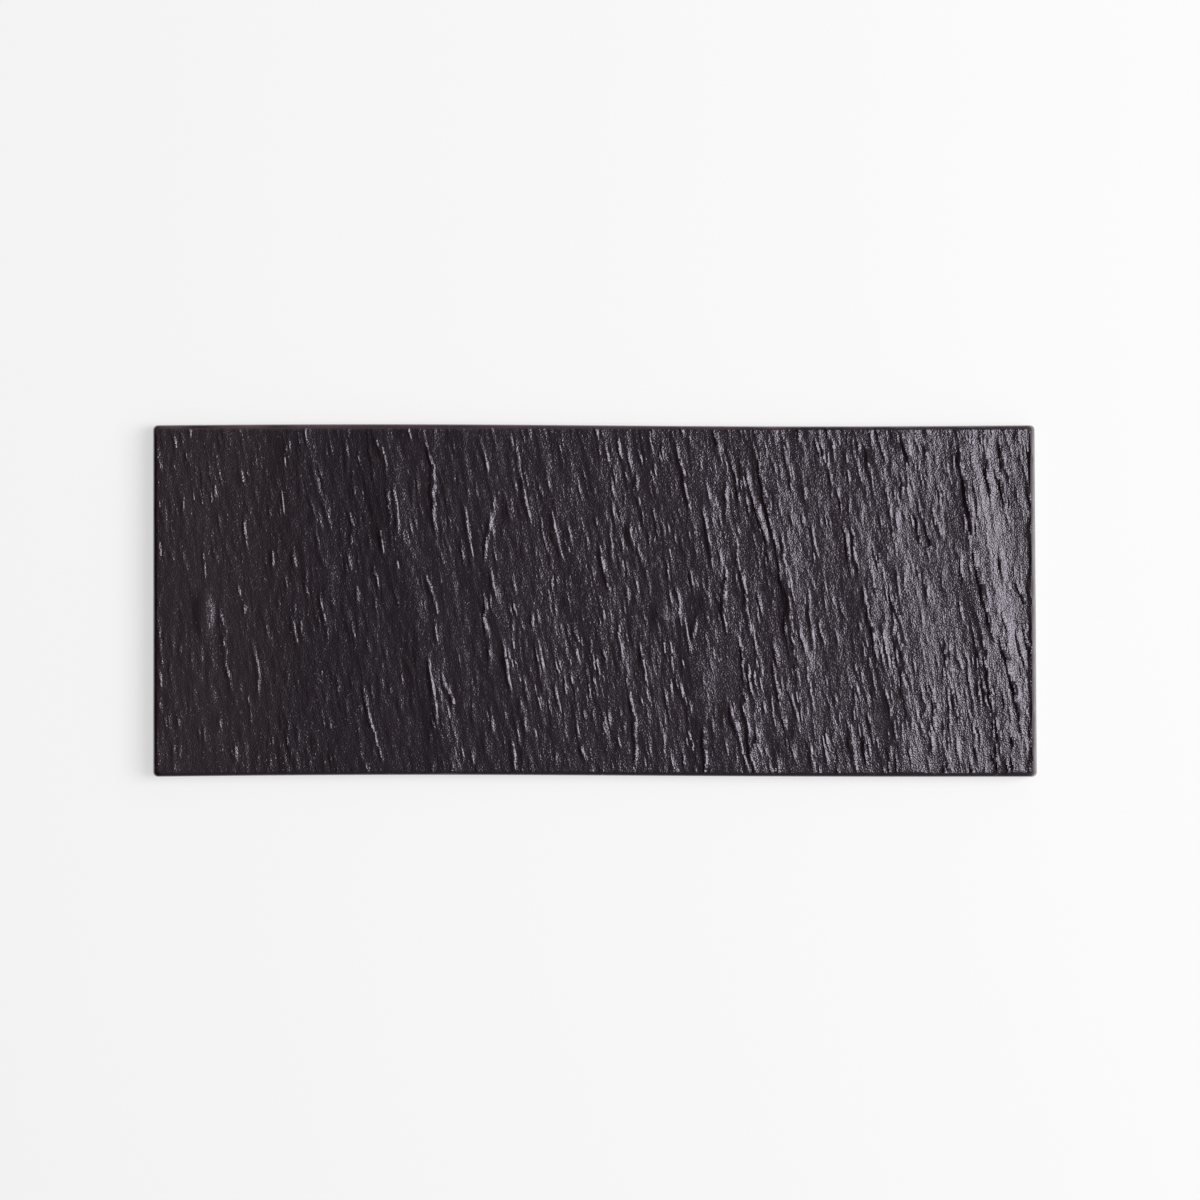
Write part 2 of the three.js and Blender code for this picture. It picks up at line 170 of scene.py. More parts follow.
# The main ridges, read off the photograph: height, then points from back to front in millimetres
MAIN_RIDGES = (
    (0.42, (-58.5, 57), (-54.5, 45.5), (-54, 23)),
    (0.22, (-74.5, 55.5), (-70.5, 46.5)),
    (0.26, (-67.5, 39.5), (-66, 21)),
    (0.34, (-73.5, 27), (-71, 15)),
    (0.28, (-95.5, 44.5), (-88.5, 23)),
    (0.22, (-94.5, 25), (-91.5, 11)),
    (0.30, (-92.5, 1), (-90, -14)),
    (0.18, (-84, 55.5), (-83.5, 40.5)),
    (0.28, (-84, 32), (-81.5, 25), (-82.5, 17.5)),
    (0.26, (-119.5, 45.5), (-118.5, 39)),
    (0.22, (-129, 19), (-127, 11)),
    (0.26, (-109, 18), (-108.5, 10.5)),
    (0.26, (-101.5, 16), (-100.5, 10)),
    (0.30, (-143, 17), (-142, 12)),
    (0.34, (-127, -2), (-124.5, -10), (-126, -16)),
    (0.18, (-126, -10), (-122.5, -35)),
    (0.24, (-116, -12), (-113.5, -25), (-113.5, -35)),
    (0.22, (-102.5, -5), (-100, -16)),
    (0.34, (-77.5, -29), (-76.5, -37), (-71.5, -55)),
    (0.22, (-84, -31), (-83, -43)),
    (0.34, (-56, -19), (-53, -43)),
    (0.32, (-54, -7), (-52.5, -15)),
    (0.34, (-51.5, -25), (-47, -36)),
    (0.22, (-56, -43), (-55.5, -50)),
    (0.26, (-52.5, -43), (-51.5, -48)),
    (0.28, (-58, 11), (-53, -5)),
    (0.32, (-53, 17), (-50.5, 12)),
    (0.24, (-44.5, 35), (-41, 9)),
    (0.34, (-34, 35), (-36, 23), (-37.5, 13)),
    (0.30, (-35.5, 11), (-33.5, 1)),
    (0.36, (-31, -14), (-28.5, -31)),
    (0.26, (-25, -33), (-23, -46)),
    (0.34, (-28, -47), (-26.5, -57)),
    (0.32, (-15, 31), (-11, 13)),
    (0.34, (-27, 54.5), (-22, 25)),
    (0.30, (-39, 55.5), (-36, 43.5)),
    (0.28, (-19, -13), (-17.5, -24)),
    (0.34, (-7, -9), (-5, -15)),
    (0.36, (-5, -49), (-2.5, -55)),
    (0.28, (-45, -49), (-44, -56)),
    (0.24, (-121.5, -48), (-121, -55)),
    (0.22, (-140.5, -48), (-140, -55)),
    (0.34, (27.5, 55.5), (31.5, 31)),
    (0.40, (37.5, 28), (40, 10)),
    (0.28, (40.5, 57), (43, 46.5)),
    (0.50, (53.5, 52.5), (57.5, 37), (61, 17)),
    (0.36, (63.5, 52.5), (67.5, 35)),
    (0.32, (78.5, 47.5), (80, 39)),
    (0.34, (91, 51.5), (93.5, 39)),
    (0.44, (103.5, 56.5), (106.5, 45.5)),
    (0.46, (86.5, 25), (89, 9)),
    (0.40, (44, 11), (43.5, -3), (44.5, -12)),
    (0.34, (49.5, 10), (53, -13)),
    (0.40, (34.5, -6), (33, -13)),
    (0.46, (62.5, 25), (65.5, 1), (67.5, -20)),
    (0.34, (72, 3), (74, -17)),
    (0.46, (90.5, 5), (94, -13)),
    (0.42, (99.5, 3), (103.5, -8)),
    (0.46, (102, -11), (107, -31)),
    (0.44, (123.5, 46.5), (125.5, 34), (127, 22)),
    (0.40, (136, 56.5), (140, 39.5)),
    (0.36, (11, -27), (13.5, -40), (13.5, -57)),
    (0.42, (50, -34), (53.5, -54)),
    (0.36, (45.5, -35), (48, -46)),
    (0.36, (36.5, -43), (37.5, -57)),
    (0.40, (56.5, -44), (53.5, -51)),
    (0.44, (103.5, -25), (107, -43)),
    (0.34, (86.5, -41), (87.5, -55)),
    (0.34, (90.5, -44), (91.5, -55)),
    (0.34, (14.5, -14), (18, -29)),
    (0.34, (1.5, 19), (5, 3)),
    (0.30, (11.5, 26), (13.5, 17)),
    (0.16, (-147.2, 50), (-147, 42)),
    (0.34, (-147.3, 20), (-147, 13.5)),
    (0.26, (-147.6, -4), (-146.2, -19)),
    (0.36, (-147.4, -23), (-146.4, -30)),
    (0.22, (-147, -33), (-146.6, -38)),
)
RIDGE_FORM = SimpleNamespace(steep=0.62, gentle=2.0, facing=1, rag=0.32, breaks=(0.84, 0.46))

# The main left-facing scarps, which lie in their own shade: height, then points from back to front
MAIN_SCARPS = (
    (0.34, (50, 45), (56, 25), (60, 8)),
    (0.32, (83.5, 26), (86, 8)),
    (0.48, (122, 50), (125.5, 33), (127, 22)),
    (0.40, (131, 46), (134.5, 35)),
    (0.40, (135, 45), (138, 32)),
    (0.54, (127, 17), (131, -1), (134.5, -14)),
    (0.38, (136, 17), (138, 6)),
    (0.38, (142, 6), (145, -1)),
    (0.40, (142, -10), (144.5, -22)),
    (0.54, (136, -11), (142, -33), (144, -45)),
    (0.35, (128, -13), (130, -22)),
    (0.32, (100, -8), (104, -31), (105, -43)),
    (0.30, (60, 24), (63.5, 1), (65.5, -20)),
    (0.28, (-38, 3), (-36, -24)),
)
SCARP_FORM = SimpleNamespace(steep=0.58, gentle=2.2, facing=-1, rag=0.32, breaks=(0.74, 0.62))
SCARP_STRENGTH = 1.5

# The broad terraces, dark on the left of their crests and light on the right: height, then points as above
TERRACES = (
    (0.16, (-146, -15), (-144, -75)),
    (0.34, (-76, 75), (-66, 15), (-59, -12), (-50, -52), (-45, -75)),
    (0.16, (-42, 20), (-36, -3), (-30, -42)),
    (0.14, (-14, 75), (-10, 30), (-6, -10)),
    (0.34, (57, 75), (60, 45), (62.5, 20), (68, -8), (71, -26)),
    (0.30, (86, 38), (89, 20), (93, -4), (105, -48), (110, -75)),
    (0.24, (106, 75), (102, 28)),
)
TERRACE_FORM = SimpleNamespace(steep=9.0, gentle=11.0, facing=1, rag=0.6, breaks=(1.0, 0.0))

# The last terrace, which falls away to the right end
END_TERRACE = ((0.38, (128, 100), (127, 55), (126.5, 30), (129.5, 2), (135, -28), (142, -70)),)
END_TERRACE_FORM = SimpleNamespace(steep=17.0, gentle=10.0, facing=1, rag=0.6, breaks=(1.0, 0.0))

# Hollows, and two knobs of negative depth: depth, centre, half breadth and half length, in millimetres
MAIN_HOLLOWS = (
    (-0.60, -132.0, -4.5, 5.0, 11.0),
    (0.30, -33.0, 29.0, 4.5, 8.0),
    (0.34, 31.5, -2.5, 5.5, 8.0),
    (-0.38, 22.5, -5.0, 5.0, 5.0),
    (0.50, 45.0, -26.0, 11.0, 14.0),
    (0.32, 57.5, -49.0, 7.0, 8.0),
    (0.20, 40.5, -37.0, 4.5, 5.0),
    (0.20, 64.0, -46.0, 4.5, 5.5),
)

# Limits of the relief: how softly it nears them, and how far it may sink into the glaze
SOFT_LIMIT = 0.03
DEEPEST = 0.28

# The rolled rim of the glaze, from above down: lift over the glaze line in millimetres and inset in glaze
# thicknesses, with the height and length of its wavering
RIM_ROLL = ((1.6, 0.0), (0.25, 0.0), (0.06, 0.3), (0.0, 1.0))
RIM_WAVER = 0.1
RIM_WAVE = 9.0

# The edges: a smooth strip along front and back, and a ragged lip and bevel at the right end
SMOOTH_EDGE = 1.1
LIP_HEIGHT = 0.35
LIP_BREADTH = 1.8
LIP_RAG = 0.7
LIP_RAG_LENGTH = 6.0
BEVEL_RAG = 0.6
BEVEL_RAG_LENGTH = 3.0

# Where the glaze draws thin, and where its red-brown is painted light: along the back edge, less so to the
# right, it is partly painted light, as the front edge has none; over the left end it is painted light alone;
# down the right wall it is thin glaze. Then how riven the edges and walls are
THIN_AND_LIT_EDGE = 0.55
BACK_EDGE_MIDDLE = 0.7
BACK_EDGE_FALL = 0.6
LEFT_PAINTED_LIGHT = 0.09
LEFT_PAINTED_LIGHT_FROM = -85.0
LEFT_PAINTED_LIGHT_BREADTH = 55.0
RIGHT_THIN = 0.35
BACK_THIN_AND_LIT = 2.6
BACK_THIN_AND_LIT_FADE = 1.2
WALL_BREADTH = 2.0
EDGE_RIVEN = 0.15
WALL_RIVEN = 0.1

# The feet: clearance in their seats, and the rounding of their lower and upper edges
SEAT_CLEARANCE = 0.4
FOOT_EDGE = 0.5
FOOT_TOP_EDGE = 0.2

# The view: the photograph's pixels, and where the plate lies in them
PHOTO_PIXELS = 1200
PLATE_PIXELS = 884
PLATE_CENTRE_PIXELS = (595.0, 600.4)
SENSOR_WIDTH = 36.0

# The softbox, by its upper and lower edges seen from the front, its width and how far back it is, and the
# floor's size, in metres
SOFTBOX_UPPER = (0.66, 1.97)
SOFTBOX_LOWER = (1.55, 1.05)
SOFTBOX_WIDTH = 0.86
SOFTBOX_BACK = 0.12
FLOOR_SIZE = 40.0

# The studio's light: where it fades towards the left, by a direction's x, and where its glow peaks, by the
# product of x and z
ROOM_FADE = (-0.42, -0.08)
GLOW_PEAK = 0.5

# Patterns in the materials: sizes and heights of bumps in millimetres; stretch, clustering and roughness are
# shares. The glaze's grain and specks and the rubber's tooth are drawn as coarse as they need to show.
GLAZE = SimpleNamespace(
    cloud=9.0, streak=1.1, stretch=0.22, grain=0.45, speck=0.32, crystal_and_glint=1.4, cluster=7.0, clustering=0.35,
    streak_bump=0.042, grain_bump=0.115, smooth_roughness=0.14)
CLAY = SimpleNamespace(cloud=14.0, grit=0.6, grog=1.8, bump=0.12)
RUBBER = SimpleNamespace(tooth=0.35, bump=0.04)
BUBBLE = 0.9

# Sockets of a mix node, which go by number: its inputs and its outputs, for numbers and for colours
MIX_IN = SimpleNamespace(share=0, number_from=2, number_to=3, colour_from=6, colour_to=7)
MIX_OUT = SimpleNamespace(number=0, colour=2)


def linear(code):
    """Turns an sRGB hex colour into linear red, green and blue by the sRGB curve."""
    shares = np.array([int(code[k:k + 2], 16) for k in (0, 2, 4)]) / 255
    bent = np.where(shares <= 0.04045, shares / 12.92, ((shares + 0.055) / 1.055) ** 2.4)
    return tuple(float(v) for v in bent)


def number(name, description, default, **settings):
    """A number property."""
    return FloatProperty(name=name, description=description, default=default, **settings)


def length(name, description, millimetres):
    """A length property whose default is given in millimetres."""
    return number(name, description, millimetres * MM, min=0, unit="LENGTH")


def colour(name, description, code):
    """A colour property whose default is an sRGB hex value."""
    return FloatVectorProperty(name=name, description=description, default=linear(code), min=0, max=1,
                               subtype="COLOR")


class PlateSlab(bpy.types.PropertyGroup):
    """Sizes of the slab over its glaze."""

    length: length("Length", "Left end to right end", 300)
    width: length("Width", "Front edge to back edge, at its widest", 119.8)
    thickness: length("Thickness", "Base to the mean level of the top", 8)
    corner_radius: length("Corner radius", "Rounding of the corners seen from above", 1.6)
    shoulder_radius: length("Shoulder radius", "Rounding between the top and the sides", 1.2)
    base_round: length("Base rounding", "Rounding between the sides and the base", 0.7)
    right_lean: length("Right lean", "How far the right end leans in from the glaze line to the top", 1.7)
    left_lean: length("Left lean", "How far the left end leans in", 1.0)
    back_lean: length("Back lean", "How far the back edge leans in", 0.5)
    front_lean: length("Front lean", "How far the front edge leans in", 0.4)
    right_shoulder: length("Right shoulder", "How far the bevel reaches in at the right end", 0.4)
    front_draw: length("Front draw", "How far firing drew the front edge in at mid-length", 0.45)
    front_sway: length("Front sway", "How far the front edge sways in on the left and out on the right", 0.28)
    back_sway: length("Back sway", "How far the back edge sways to either side of its mean line", 0.38)
    end_skew: length("End skew", "How far the right end is out of square", 0.8)
    glaze: length("Glaze thickness", "Thickness of the glaze coat", 0.4)


class PlateTop(bpy.types.PropertyGroup):
    """Relief of the riven top."""

    grain_angle: number("Grain angle", "Lean of the grain from the plate's width", math.radians(11),
                        subtype="ANGLE")
    swell_height: length("Swell height", "Height of the long swells", 0.3)
    swell_breadth: length("Swell breadth", "Breadth of the swells across the grain", 42)
    swell_length: length("Swell length", "Length of the swells along the grain", 95)
    ledge_left: length("Left ledge height", "Height of the ledges at the left end", 0.06)
    ledge_right: length("Right ledge height", "Height of the ledges at the right end", 0.14)
    ledge_breadth: length("Ledge breadth", "Breadth of the ledges across the grain", 10)
    ledge_length: length("Ledge length", "Length of the ledges along the grain", 46)
    ledge_sharpness: number("Ledge sharpness", "Steepness of the ledges' flanks", 2.4, min=0)
    dip_start: length("Dip start", "Where the right end bends down, across the grain from the middle", 105)
    dip_bend: length("Dip bend", "How gently the right end bends down", 2.5)
    dip_slope: number("Dip slope", "Fall of the right end for each unit of length", 0.031, min=0)
    ridge_scale: number("Ridge height", "Share of the main ridges' height", 0.9, min=0, subtype="FACTOR")
    streak_height: length("Streak height", "Height of the fine streaks", 0.045)
    fibre_height: length("Fibre height", "Height of the finest fibres", 0.03)
    lump_height: length("Lump height", "Height of the small lumps between ridges", 0.04)
    hump_height: length("Hump height", "Height of the broader humps between ridges", 0.05)


class PlateFinish(bpy.types.PropertyGroup):
    """Colours of the plate's materials."""

    glaze_dark: colour("Glaze", "Violet-black of the glaze where it lies thick", "140D12")
    glaze_light: colour("Glaze, thinner", "Brown-black of the glaze where it lies thinner", "1E151B")
    # This red-brown is also painted light: it lightens the left end, and in part the back edge
    glaze_edge_and_painted_light: colour("Glaze at edges", "Red-brown where the glaze draws thin over edges", "5E4A50")
    sheen: colour("Sheen", "Faint violet of the glaze's sheen", "F4EDFC")
    # Partly painted glints: the pale specks stand both for the crystals and for their glints
    crystal_and_glint: colour("Crystals", "Pale grey of the tiny crystals in the glaze", "978D96")
    clay: colour("Stoneware", "Brown of the bare fired clay", "6A5248")
    clay_grog: colour("Grog", "Grains of burnt clay in the body", "8C7466")
    rubber: colour("Rubber", "Black of the moulded feet", "1E1D1E")
    adhesive: colour("Adhesive", "Milky adhesive between feet and base", "CFCBC0")


class PlateStudio(bpy.types.PropertyGroup):
    """Camera, light and floor."""

    view_height: length("View height", "Camera above the table", 1300)
    floor: colour("Floor", "Pale studio floor", "F9F9F9")
    right_glow: number("Right glow", "Radiance of the studio halfway up on the right", 0.7)
    overhead: number("Overhead light", "Radiance of the studio overhead", 0.29)
    left_light: number("Left light", "Radiance of the studio on the left", 0.02)
    softbox: number("Softbox", "Radiance of the softbox", 9.4)
    floor_glow: number("Floor glow", "Share of the seen floor that is plain pale colour", 0.64,
                       subtype="FACTOR")


def slab_sizes(scene):
    """The slab's and the top's lengths as plain numbers in millimetres."""
    sizes = {name: value / MM for name, value in group_values(scene.plate_slab)}
    sizes |= {name: value / MM for name, value in group_values(scene.plate_top)}
    for name in ("grain_angle", "ledge_sharpness", "dip_slope", "ridge_scale"):
        sizes[name] = getattr(scene.plate_top, name)
    return SimpleNamespace(**sizes, top=BASE_HEIGHT + scene.plate_slab.thickness / MM)


def group_values(group):
    """Pairs of name and value of a property group's own properties."""
    return [(name, getattr(group, name)) for name in type(group).__annotations__]


def ease(t):
    """Quintic ease from 0 to 1, flat at both ends."""
    t = np.clip(t, 0, 1)
    return t * t * t * (t * (t * 6 - 15) + 10)


def lattice_values(i, j, layer):
    """A repeatable scatter from -1 to 1 over whole-number lattice points: a 32-bit mix of a point's place."""
    across, along = (np.asarray(v).astype(np.int64).astype(np.uint32) for v in (i, j))
    bits = across * np.uint32(SCATTER_ACROSS) ^ along * np.uint32(SCATTER_ALONG)
    bits = bits ^ np.uint32(layer * SCATTER_LAYER % 2**32)
    bits = (bits ^ bits >> np.uint32(SCATTER_SHIFT)) * np.uint32(SCATTER_MIX)
    return (bits ^ bits >> np.uint32(SCATTER_SHIFT)) / 2**31 - 1


def smooth_noise(x, y, layer):
    """Lattice values blended by the quintic ease between neighbours."""
    i, j = np.floor(x), np.floor(y)
    s, t = ease(x - i), ease(y - j)
    near = lattice_values(i, j, layer) * (1 - s) + lattice_values(i + 1, j, layer) * s
    far = lattice_values(i, j + 1, layer) * (1 - s) + lattice_values(i + 1, j + 1, layer) * s
    return near * (1 - t) + far * t


def grain_places(x, y, sizes):
    """Distances across and along the grain: the plan turned by the grain's angle."""
    c, s = math.cos(sizes.grain_angle), math.sin(sizes.grain_angle)
    return x * c + y * s, y * c - x * s


def riven_height(x, y, sizes):
    """Height of the top's main form: swells of smooth noise, ledges of smooth noise bent by tanh into flat
    tops with steep flanks, both drawn out along the grain, and a right end that bends down to a slope."""
    across, along = grain_places(x, y, sizes)
    swell = smooth_noise(across / sizes.swell_breadth, along / sizes.swell_length, SWELL_LAYER)
    ledge = smooth_noise(across / sizes.ledge_breadth, along / sizes.ledge_length, LEDGE_LAYER)
    rise = sizes.ledge_left + (sizes.ledge_right - sizes.ledge_left) * (0.5 + x / sizes.length)
    beyond = (across - sizes.dip_start) / sizes.dip_bend
    dip = sizes.dip_slope * sizes.dip_bend * np.logaddexp(0, beyond)
    return sizes.swell_height * swell + rise * np.tanh(sizes.ledge_sharpness * ledge) - dip


def ragged_waver(x, y, rag):
    """How far a ridge's line strays to the side: slow smooth noise, and quick noise of the rag's height."""
    slow = WAVER * smooth_noise(x / WAVER_LENGTH, y / WAVER_LENGTH, WAVER_LAYER)
    return slow + rag * smooth_noise(x / RAG_LENGTH, y / RAG_LENGTH, RAG_LAYER)


def broken_share(x, y, breaks):
    """How much of a ridge's height is left where it is broken: a mean and a swing of smooth noise, never
    below 0."""
    mean, swing = breaks
    return np.clip(mean + swing * smooth_noise(x / BREAK_BREADTH, y / BREAK_LENGTH, BREAK_LAYER), 0, None)


def crest(offset, steep, gentle):
    """A crest seen across: 1 on its line, falling by the ease within the steep breadth on the right and
    within the gentle breadth on the left."""
    return np.where(offset > 0, ease(1 - offset / steep), ease(1 + offset / gentle))


def scattered_splinters(x, y, sizes, form, layer):
    """One splinter at most in each cell of a lattice drawn out along the grain. Its place, half length, lean,
    height and the side it faces come from the scatter; it is a crest that tapers as 1 - t^4 towards its ends
    and fades where the plate is calm."""
    across, along = grain_places(x, y, sizes)
    patches = smooth_noise(across / PATCH_BREADTH, along / PATCH_LENGTH, PATCH_LAYER)
    share = np.interp(x, ALONG_PLATE, SPLINTER_SHARE) + PATCH_CONTRAST * patches
    strength = np.interp(x, ALONG_PLATE, SPLINTER_STRENGTH)
    left_facing = np.interp(x, ALONG_PLATE, LEFT_FACING_SHARE)
    waver = ragged_waver(x, y, SPLINTER_RAG)
    broken = broken_share(x, y, SPLINTER_BREAKS)
    mean_length, length_swing = SPLINTER_HALF_LENGTH
    mean_rise, rise_swing = SPLINTER_RISE
    cell_i, cell_j = np.floor(across / form.cell_across), np.floor(along / form.cell_along)
    height = np.zeros_like(across)
    for i, j in ((cell_i + a, cell_j + b) for a in (-1, 0, 1) for b in (-1, 0, 1)):
        stray_across, stray_along, size, lean, side, rank = (
            lattice_values(i, j, layer + k) for k in range(6))
        centre_across = (i + 0.5 + SPLINTER_STRAY * stray_across) * form.cell_across
        centre_along = (j + 0.5 + SPLINTER_STRAY * stray_along) * form.cell_along
        half_length = form.cell_along * (mean_length + length_swing * size)
        t = (along - centre_along) / half_length
        taper = np.clip(1 - t**4, 0, 1)
        offset = across - centre_across + waver - SPLINTER_LEAN * lean * (along - centre_along)
        faces_left = 0.5 + 0.5 * side < left_facing
        narrow = SPLINTER_TIP + (1 - SPLINTER_TIP) * taper
        profile = crest(np.where(faces_left, -offset, offset), form.steep * narrow, form.gentle * narrow)
        shown = np.clip((share - (0.5 + 0.5 * rank)) / SPLINTER_FADE, 0, 1)
        height += shown * form.height * (mean_rise + rise_swing * size) * taper * profile
    return height * strength * broken


def placed_ridges(x, y, ridges, form):
    """Ridges along given lines: at each y a crest across the line's x there, tapered to both ends by
    the root of a half sine."""
    height = np.zeros_like(x)
    waver = ragged_waver(x, y, form.rag)
    broken = broken_share(x, y, form.breaks)
    for rise, *points in ridges:
        xs, ys = (np.array(values, float) for values in zip(*reversed(points)))
        t = (y - ys[0]) / (ys[-1] - ys[0])
        taper = np.sqrt(np.sin(np.pi * np.clip(t, 0, 1)))
        offset = form.facing * (x - np.interp(y, ys, xs) + waver)
        narrow = RIDGE_TIP + (1 - RIDGE_TIP) * taper
        height += rise * taper * crest(offset, form.steep * narrow, form.gentle * narrow)
    return height * broken


def placed_hollows(x, y):
    """Depth of the round hollows, and of the knobs, which stand up: each one's depth times the ease of one
    minus the elliptic distance from its centre."""
    depth = np.zeros_like(x)
    for sink, cx, cy, half_breadth, half_length in MAIN_HOLLOWS:
        depth += sink * ease(1 - np.hypot((x - cx) / half_breadth, (y - cy) / half_length))
    return depth


def fine_height(x, y, sizes):
    """Height of the fine relief over the top's main form: main ridges and scarps, terraces, scattered
    splinters and chips, and smooth noise for streaks and fibres along the grain and for lumps and humps,
    less the hollows, and kept above a soft floor."""
    across, along = grain_places(x, y, sizes)
    height = placed_ridges(x, y, MAIN_RIDGES, RIDGE_FORM) * np.interp(x, ALONG_PLATE, RIDGE_STRENGTH)
    height += placed_ridges(x, y, MAIN_SCARPS, SCARP_FORM) * SCARP_STRENGTH
    height *= sizes.ridge_scale
    height += placed_ridges(x, y, TERRACES, TERRACE_FORM)
    height += placed_ridges(x, y, END_TERRACE, END_TERRACE_FORM)
    height += scattered_splinters(x, y, sizes, SPLINTER, SPLINTER_LAYER)
    height += scattered_splinters(x, y, sizes, CHIP, CHIP_LAYER)
    height += sizes.streak_height * smooth_noise(across / STREAK_BREADTH, along / STREAK_LENGTH, STREAK_LAYER)
    height += sizes.fibre_height * smooth_noise(across / FIBRE_BREADTH, along / FIBRE_LENGTH, FIBRE_LAYER)
    height += sizes.lump_height * smooth_noise(x / LUMP_LENGTH, y / LUMP_LENGTH, LUMP_LAYER)
    height += sizes.hump_height * smooth_noise(x / HUMP_LENGTH, y / HUMP_LENGTH, HUMP_LAYER)
    return soft_floor(height - placed_hollows(x, y), -DEEPEST)


def riven_share(y, sizes):
    """How riven the top is: the ease of the distance from its front or back edge, past a smooth strip."""
    return ease((sizes.width / 2 - np.abs(y) - SMOOTH_EDGE) / SMOOTH_EDGE)


def right_lip(x, y, sizes):
    """Height of the lip that rises to the right end's edge, by an ease over a breadth that noise varies."""
    edge = sizes.length / 2 - sizes.right_lean - sizes.end_skew * (0.5 + y / sizes.width)
    breadth = LIP_BREADTH * (1 + LIP_RAG * smooth_noise(y / LIP_RAG_LENGTH, 0 * y, LIP_LAYER))
    return LIP_HEIGHT * (1 - ease((edge - x) / breadth))


def soft_floor(values, floor):
    """Values kept above a floor, which they near by the logarithm of a sum of exponentials."""
    return floor + SOFT_LIMIT * np.logaddexp(0, (values - floor) / SOFT_LIMIT)


def glazed_height(x, y, sizes):
    """Height of the glaze's surface: the main form, the fine relief where the top is riven, and the lip at
    the right end, kept below the highest point by a soft limit."""
    form = riven_height(x, y, sizes) + fine_height(x, y, sizes) * riven_share(y, sizes)
    room = HIGHEST_POINT - sizes.top
    return -soft_floor(-form - right_lip(x, y, sizes), -room)


def slab_rows(straight_rows):
    """Rows from front to back, as a share of the straight end and a turn on a corner's arc."""
    turns = np.linspace(0, np.pi / 2, CORNER_STEPS + 1)[1:]
    share = np.concatenate([0 * turns, np.linspace(0, 1, straight_rows + 1), 0 * turns + 1])
    turn = np.concatenate([-turns[::-1], np.zeros(straight_rows + 1), turns])
    return share, turn


def slab_points(column, share, turn, height, depth, rolls, sizes, relief):
    """Points of the slab: a rounded rectangle whose sides lean in with height. It is drawn in by a depth
    under the glaze's surface and by two shares, one of the shoulder's rounding and one of the ragged bevel
    that the right end has instead.
    Columns run from -1 to 1 and follow the grain in mid-plate, x = u + s (1 - u^2) in half lengths.
    Firing draws the front edge in by a parabola, sways both long edges by a sine and skews the right end.
    The relief lifts each point by its share of the way up the side."""
    up = np.clip((height - GLAZE_LINE_HEIGHT) / (sizes.top - GLAZE_LINE_HEIGHT), 0, 1)
    round_share, bevel_share = rolls
    inset = depth + sizes.shoulder_radius * round_share
    front = -sizes.width / 2 + sizes.front_lean * up + inset + sizes.corner_radius
    back = sizes.width / 2 - sizes.back_lean * up - inset - sizes.corner_radius
    y = front + (back - front) * share + sizes.corner_radius * np.sin(turn)
    bevel = sizes.right_shoulder * (1 + BEVEL_RAG * smooth_noise(y / BEVEL_RAG_LENGTH, 0 * y, RIM_LAYER))
    left = -sizes.length / 2 + sizes.left_lean * up + inset
    right = sizes.length / 2 - sizes.right_lean * up - depth - bevel * bevel_share
    half = (right - left) / 2 - sizes.corner_radius * (1 - np.cos(turn))
    grain_shift = -math.tan(sizes.grain_angle) * y / half
    x = (left + right) / 2 + half * (column + grain_shift * (1 - column**2))
    bow = 1 - (2 * x / sizes.length) ** 2
    sway = np.sin(2 * np.pi * x / sizes.length)
    back_share = 0.5 + y / sizes.width
    front_shift = sizes.front_draw * bow - sizes.front_sway * sway
    back_shift = -sizes.back_sway * (1 + sway)
    y = y + (1 - back_share) * front_shift + back_share * back_shift
    x = x - sizes.end_skew * back_share * (0.5 + x / sizes.length)
    return np.stack(np.broadcast_arrays(x, y, height + up * relief(x, y, sizes)), axis=-1)


def rim_order(rows, columns):
    """Row and column of each point round a grid's edge, anticlockwise from its front left corner."""
    r, c = np.arange(rows), np.arange(columns)
    order_rows = [0 * c, r[1:-1], 0 * c + rows - 1, r[-2:0:-1]]
    order_columns = [c, 0 * r[1:-1] + columns - 1, c[::-1], 0 * r[1:-1]]
    return np.concatenate(order_rows), np.concatenate(order_columns)


def slab_layout(straight_rows, columns):
    """A grid over the slab and the edge round it, as the columns, shares and turns that slab_points takes."""
    share, turn = slab_rows(straight_rows)
    column = np.linspace(-1, 1, columns + 1)
    rows_round, columns_round = rim_order(share.size, column.size)
    return SimpleNamespace(
        grid=(column[None, :], share[:, None], turn[:, None]),
        edge=(column[columns_round], share[rows_round], turn[rows_round]),
        rim=(rows_round, columns_round), shape=(share.size, column.size))


def sheet_faces(ids):
    """Four-sided faces of a grid of point numbers, facing up when rows run to the back."""
    return np.stack([ids[:-1, :-1], ids[:-1, 1:], ids[1:, 1:], ids[1:, :-1]], axis=-1).reshape(-1, 4)


def band_faces(lower, upper):
    """Four-sided faces between two rings that run anticlockwise, facing out."""
    return np.stack([lower, np.roll(lower, -1), np.roll(upper, -1), upper], axis=-1)


